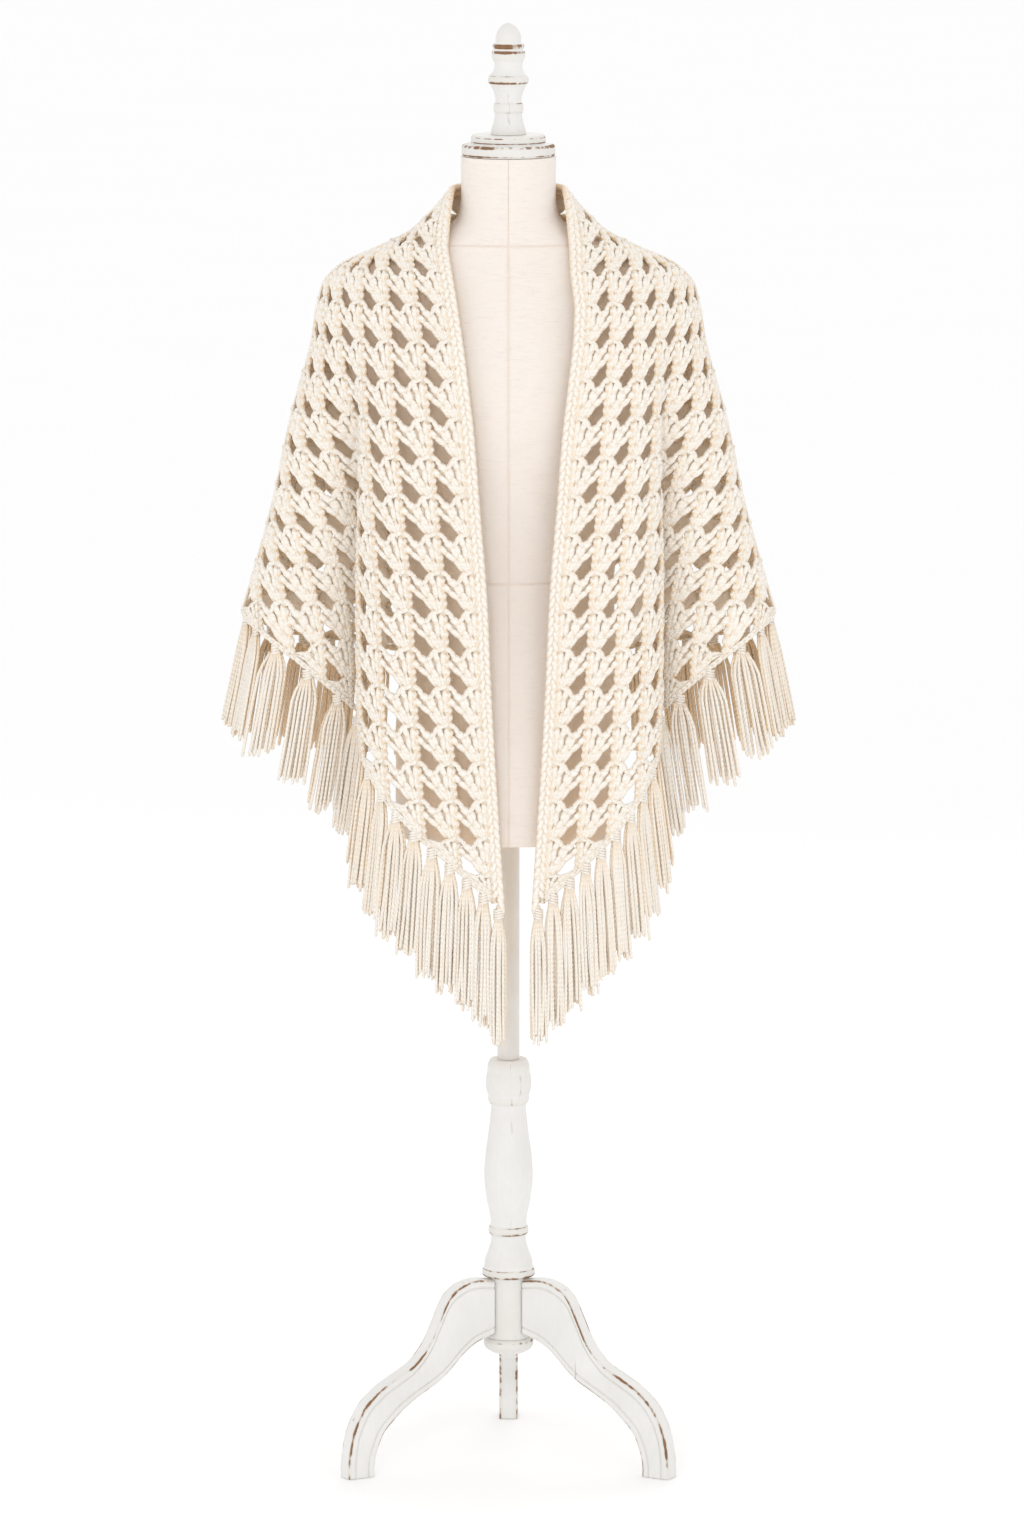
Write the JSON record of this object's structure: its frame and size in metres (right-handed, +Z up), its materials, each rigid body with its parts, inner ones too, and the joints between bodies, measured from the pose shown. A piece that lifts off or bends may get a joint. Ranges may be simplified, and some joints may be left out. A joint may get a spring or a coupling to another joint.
{
  "type": "crochet lace shawl on a limbless dress form with a tripod stand",
  "caption": "Open crochet shawl with long fringe, draped over the shoulders of a dress form on a turned pole with three scrolled legs.",
  "frame": {"origin": "On the floor, at the centre of the bottom of the whole object's box. The pole's axis stands 42.6 mm in front of it.", "axes": "+Z is up, the front of the shawl faces -Y, and +X is the wearer's left."},
  "size_m": [0.6426, 0.3438, 1.6375],
  "materials": {
    "yarn": "thick soft cream yarn, crocheted, with a faint sheen",
    "linen": "fine matt linen stretched over the form",
    "painted_wood": "white satin paint, rubbed through to brown wood along the edges"
  },
  "bodies": {
    "root": {"front_panel_left": "yarn", "front_panel_right": "yarn", "wing_left": "yarn", "wing_right": "yarn", "back_left": "yarn", "back_right": "yarn", "band_left": "yarn", "band_right": "yarn", "fringe_front_left": "yarn", "fringe_front_right": "yarn", "fringe_back_left": "yarn", "fringe_back_right": "yarn", "torso": "linen", "neck_cap": "painted_wood", "finial": "painted_wood", "pole": "painted_wood", "column": "painted_wood", "knob": "painted_wood", "leg_front_left": "painted_wood", "leg_front_right": "painted_wood", "leg_rear": "painted_wood"}
  },
  "joints": []
}
